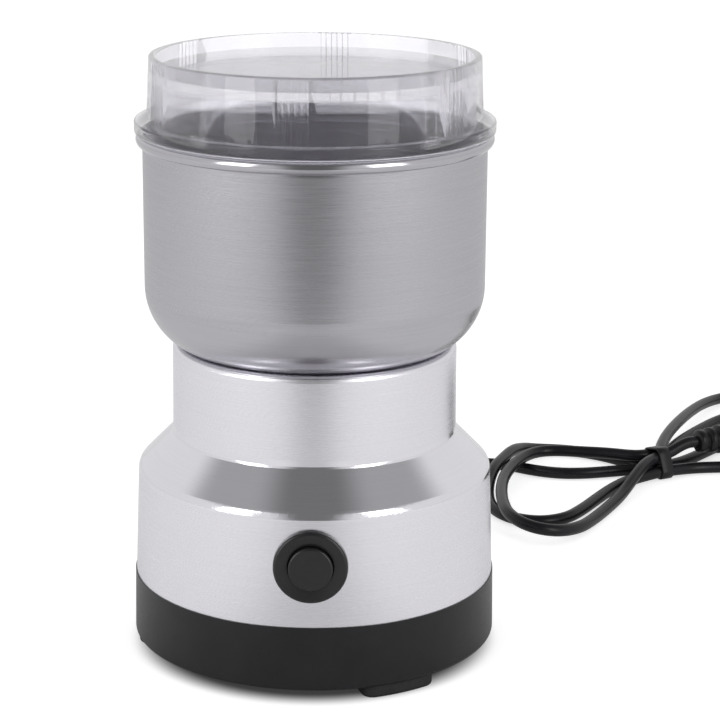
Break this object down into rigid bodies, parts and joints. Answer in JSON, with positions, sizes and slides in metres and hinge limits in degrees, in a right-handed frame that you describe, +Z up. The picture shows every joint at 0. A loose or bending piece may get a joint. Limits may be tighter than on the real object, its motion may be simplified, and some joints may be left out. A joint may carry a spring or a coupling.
{
  "type": "electric spice grinder",
  "caption": "Small electric grinder: brushed steel bowl with a clear lift-off lid, waisted steel motor housing with a push button, black base, and a tied mains lead.",
  "frame": {"origin": "on the surface it stands on, under the axis of the bowl and the motor", "axes": "+Z up along the axis, -Y towards the button, +X to the right of someone facing the button"},
  "size_m": [0.2602, 0.3139, 0.175],
  "materials": {
    "clear_acrylic": "clear moulded acrylic, polished",
    "bowl_steel": "stainless sheet, brushed round the bowl, polished at its rim",
    "housing_steel": "bright sheet, fine satin with a polished shoulder",
    "base_plastic": "black, satin moulded",
    "foot_rubber": "black, matt",
    "button_plastic": "black, polished ring and cap",
    "cast_alloy": "as cast",
    "sintered_bronze": "oiled",
    "lamination_steel": "varnished sheet stack",
    "copper_wire": "enamelled",
    "bright_steel": "ground",
    "blade_steel": "ground edges",
    "zinc_steel": "zinc plated",
    "carbon": "pressed carbon",
    "fan_plastic": "natural nylon",
    "switch_plastic": "black phenolic",
    "seal_rubber": "food-safe silicone",
    "cord_vinyl": "black vinyl, soft gloss",
    "wire_vinyl": "insulated hook-up wire",
    "plug_vinyl": "black moulded vinyl",
    "pin_brass": "nickel plated"
  },
  "bodies": {
    "housing": {"bowl": "bowl_steel", "housing_shell": "housing_steel", "base_cover": "base_plastic", "foot_pads": "foot_rubber", "bowl_gasket": "seal_rubber", "bowl_seal": "seal_rubber", "bowl_nut": "zinc_steel", "motor_frame": "cast_alloy", "upper_bearing": "sintered_bronze", "shaft_seal": "seal_rubber", "lower_bracket": "cast_alloy", "lower_bearing": "sintered_bronze", "stator_core": "lamination_steel", "field_coils": "copper_wire", "motor_screws": "zinc_steel", "brush_holders": "zinc_steel", "carbon_brushes": "carbon", "brush_springs": "bright_steel", "brush_caps": "switch_plastic", "base_screws": "zinc_steel", "button_bezel": "button_plastic", "bezel_nut": "zinc_steel", "button_spring": "bright_steel", "switch_body": "switch_plastic", "cord_grommet": "cord_vinyl", "cord_inner": "cord_vinyl", "cord_clamp": "switch_plastic", "clamp_screws": "zinc_steel", "wiring": "wire_vinyl", "cord_relief": "cord_vinyl", "cord_lead": "cord_vinyl", "cord_hank": "cord_vinyl", "cord_tie": "plug_vinyl", "plug_relief": "plug_vinyl", "plug_body": "plug_vinyl", "plug_pins": "pin_brass"},
    "lid": {"lid": "clear_acrylic"},
    "button": {"button_cap": "button_plastic", "switch_plunger": "switch_plastic"},
    "rotor": {"motor_shaft": "bright_steel", "armature_core": "lamination_steel", "armature_windings": "copper_wire", "commutator": "copper_wire", "cooling_fan": "fan_plastic", "blade": "blade_steel", "blade_nut": "bright_steel"}
  },
  "joints": [
    {"name": "lid_lift", "type": "slide", "parent": "housing", "child": "lid", "axis": [0, 0, 1], "range_m": [0, 0.06]},
    {"name": "button_press", "type": "slide", "parent": "housing", "child": "button", "axis": [0, 1, 0], "range_m": [0, 0.0025], "stiffness_N_per_m": 600, "springref_m": -0.003, "deforming": ["button_spring"]},
    {"name": "blade_spin", "type": "hinge", "parent": "housing", "child": "rotor", "pos_m": [0, 0, 0.0976], "axis": [0, 0, 1], "continuous": true}
  ]
}
